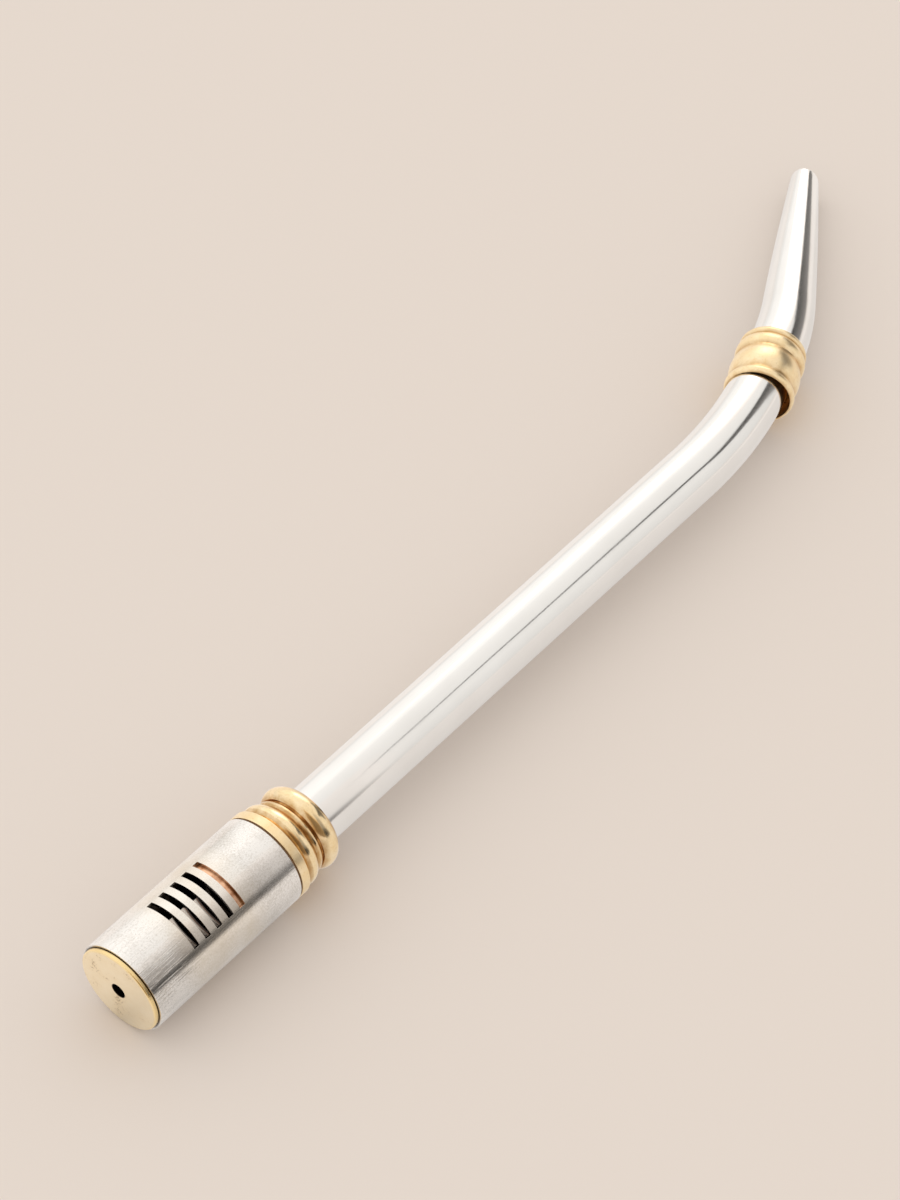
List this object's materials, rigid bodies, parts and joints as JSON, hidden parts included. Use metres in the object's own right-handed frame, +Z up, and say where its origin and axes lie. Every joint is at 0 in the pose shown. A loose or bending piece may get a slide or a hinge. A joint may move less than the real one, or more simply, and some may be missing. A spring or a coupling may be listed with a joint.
{
  "type": "bombilla",
  "caption": "Bent metal drinking straw for mate with a tapered mouthpiece, turned brass joint ring and collar, and a screw-off slotted filter with an end cap.",
  "frame": {"origin": "centre of the bounding box in X and Y, on the table that the bombilla lies on", "axes": "+X along the filter and the straight stem towards the mouthpiece, +Y the side the mouthpiece bends to, +Z up from the table"},
  "size_m": [0.2018, 0.0393, 0.0151],
  "materials": {
    "polished_steel": "polished",
    "satin_steel": "satin",
    "turned_brass": "polished",
    "matt_brass": "satin",
    "copper": "satin",
    "dark_seal": "matte"
  },
  "bodies": {
    "stem": {"stem_tube": "polished_steel", "collar": "turned_brass", "joint_ring": "turned_brass", "mouthpiece": "polished_steel"},
    "washer": {"collar_washer": "dark_seal"},
    "filter": {"filter_sleeve": "satin_steel", "sleeve_bush": "copper"},
    "cap": {"end_cap": "matt_brass"}
  },
  "joints": [
    {"name": "filter_turn", "type": "hinge", "parent": "stem", "child": "washer", "pos_m": [-0.07076, -0.01215, 0.00755], "axis": [-1, 0, 0], "range_deg": [0, 1620]},
    {"name": "filter_advance", "type": "slide", "parent": "washer", "child": "filter", "axis": [-1, 0, 0], "range_m": [0, 0.0068]},
    {"name": "cap_pull", "type": "slide", "parent": "filter", "child": "cap", "axis": [-1, 0, 0], "range_m": [0, 0.008]}
  ],
  "couplings": [
    {"joint": "filter_advance", "follows": "filter_turn", "m_per_rad": 0.00023873}
  ]
}
